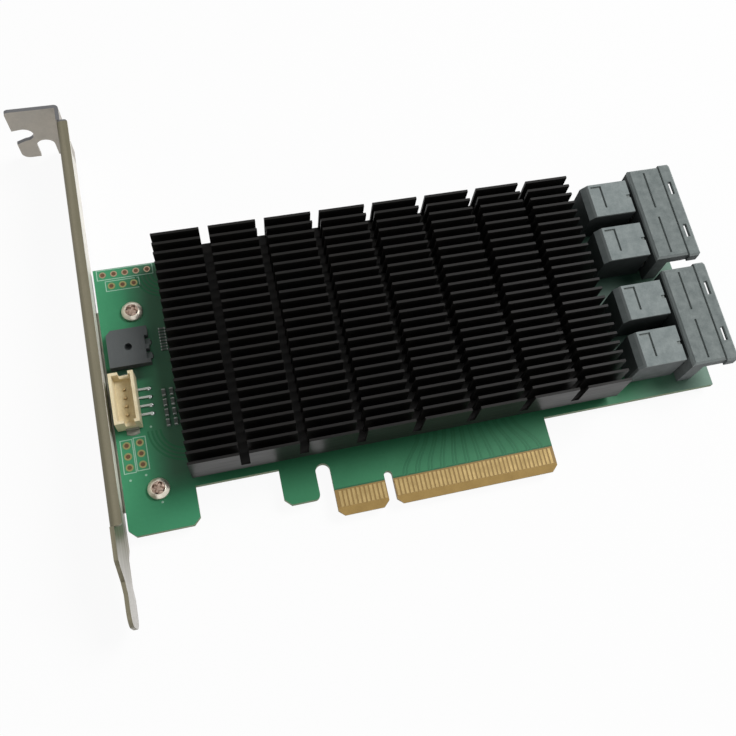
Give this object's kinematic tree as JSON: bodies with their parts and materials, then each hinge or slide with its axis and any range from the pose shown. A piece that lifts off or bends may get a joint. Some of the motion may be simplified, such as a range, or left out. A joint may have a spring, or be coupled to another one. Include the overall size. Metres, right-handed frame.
{
  "type": "host bus adapter",
  "caption": "Low-profile storage adapter card with a full-height slotted bracket, cross-cut finned heat sink, keyed card-edge tongue, buzzer, fan header and hooded dual-port cable connectors.",
  "frame": {"origin": "middle of the key notch, at the contact edge, on the component face of the board", "axes": "+X from the bracket to the port connectors, +Y from the contact edge to the board's far long edge, +Z off the component face"},
  "size_m": [0.1572, 0.1195, 0.0187],
  "materials": {
    "solder_mask": "green solder mask over glass-epoxy laminate",
    "gold": "thin gold plate",
    "bracket_steel": "plated sheet steel",
    "screw_nickel": "nickel plated",
    "black_anodised": "black anodised, satin",
    "package_green": "laminate",
    "lid_nickel": "nickel plated",
    "thermal_grey": "soft filled silicone",
    "buzzer_grey": "moulded, matt",
    "tin": "bright tin plate",
    "ivory_plastic": "moulded, satin",
    "slate_plastic": "moulded, matt",
    "capacitor_tan": "fired ceramic with tinned ends",
    "chip_black": "moulded, matt",
    "ferrite_grey": "pressed powder, matt"
  },
  "bodies": {
    "root": {"circuit_board": "solder_mask", "edge_contacts_front": "gold", "edge_contacts_back": "gold", "bracket": "bracket_steel", "bracket_screws": "screw_nickel", "heat_sink_screws": "screw_nickel", "heat_sink": "black_anodised", "controller_package": "package_green", "controller_lid": "lid_nickel", "thermal_pad": "thermal_grey", "buzzer_housing": "buzzer_grey", "buzzer_terminals": "tin", "fan_header_tabs": "tin", "fan_header_pins": "tin", "fan_header_housing": "ivory_plastic", "port_shroud_upper": "slate_plastic", "port_shroud_lower": "slate_plastic", "port_block_upper_a": "slate_plastic", "port_block_upper_b": "slate_plastic", "port_block_lower_a": "slate_plastic", "port_block_lower_b": "slate_plastic", "chip_capacitors": "capacitor_tan", "chip_resistors": "chip_black", "power_inductors": "ferrite_grey", "regulator_chips": "chip_black", "boot_memory": "chip_black", "oscillator": "lid_nickel"}
  },
  "joints": []
}
